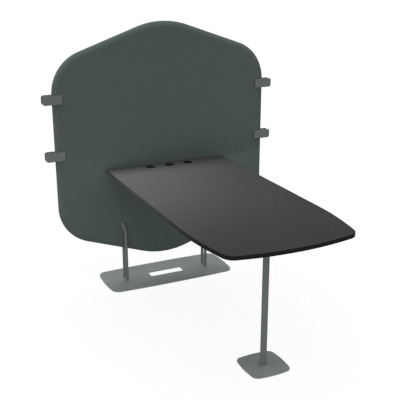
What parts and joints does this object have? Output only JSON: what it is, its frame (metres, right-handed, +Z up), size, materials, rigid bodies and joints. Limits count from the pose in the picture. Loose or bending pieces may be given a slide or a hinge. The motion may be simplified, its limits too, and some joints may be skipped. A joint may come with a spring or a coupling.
{
  "type": "desk with privacy screen",
  "caption": "Long work surface on a front post, hung from a free-standing upholstered privacy screen with six sides, a slotted steel base, side link clips and turning cable grommets.",
  "frame": {"origin": "on the floor, in the middle of the whole object's footprint", "axes": "+X along the screen, +Y from the desk towards the screen's rear, +Z up"},
  "size_m": [1.454, 1.711, 1.5795],
  "materials": {
    "screen_fabric": "woven wool-like upholstery, dark grey-green",
    "core_board": "bare board",
    "painted_steel": "fine matt powder coat, grey-green",
    "bare_steel": "zinc plated",
    "desk_laminate": "board under a satin black laminate",
    "edge_banding": "matt black edge band",
    "grommet_plastic": "matt black moulded plastic",
    "cap_plastic": "grey moulded plastic",
    "floor_felt": "thin black floor pad"
  },
  "bodies": {
    "desk": {"screen_pad_front": "screen_fabric", "screen_pad_rear": "screen_fabric", "screen_core": "core_board", "base_plate": "painted_steel", "foot_plate": "painted_steel", "desk_post": "painted_steel", "post_flange": "painted_steel", "desk_bracket_left": "painted_steel", "desk_bracket_right": "painted_steel", "clamp_bolts": "painted_steel", "leg_tube_front_left": "painted_steel", "leg_tube_front_right": "painted_steel", "leg_tube_rear_left": "painted_steel", "leg_tube_rear_right": "painted_steel", "link_clip_left_upper": "painted_steel", "link_clip_left_lower": "painted_steel", "link_clip_right_upper": "painted_steel", "link_clip_right_lower": "painted_steel", "leg_bolts": "bare_steel", "leg_tube_plugs": "bare_steel", "clamp_sleeves": "bare_steel", "bracket_bolts": "bare_steel", "screen_core_inserts": "bare_steel", "bracket_spacers": "bare_steel", "clip_screws": "bare_steel", "bracket_desk_screws": "bare_steel", "flange_screws": "bare_steel", "foot_bolt": "bare_steel", "post_plug": "bare_steel", "desk_board": "desk_laminate", "desk_edge_band": "edge_banding", "grommet_sleeve_left": "grommet_plastic", "grommet_sleeve_middle": "grommet_plastic", "grommet_sleeve_right": "grommet_plastic", "leg_tube_caps": "cap_plastic", "base_floor_pads": "floor_felt", "foot_floor_pads": "floor_felt"},
    "cap_left": {"grommet_cap_left": "grommet_plastic"},
    "cap_middle": {"grommet_cap_middle": "grommet_plastic"},
    "cap_right": {"grommet_cap_right": "grommet_plastic"}
  },
  "joints": [
    {"name": "grommet_cap_left_turn", "type": "hinge", "parent": "desk", "child": "cap_left", "pos_m": [-0.121, 0.6045, 0.738], "axis": [0, 0, 1], "continuous": true},
    {"name": "grommet_cap_middle_turn", "type": "hinge", "parent": "desk", "child": "cap_middle", "pos_m": [0, 0.6045, 0.738], "axis": [0, 0, 1], "continuous": true},
    {"name": "grommet_cap_right_turn", "type": "hinge", "parent": "desk", "child": "cap_right", "pos_m": [0.121, 0.6045, 0.738], "axis": [0, 0, 1], "continuous": true}
  ]
}
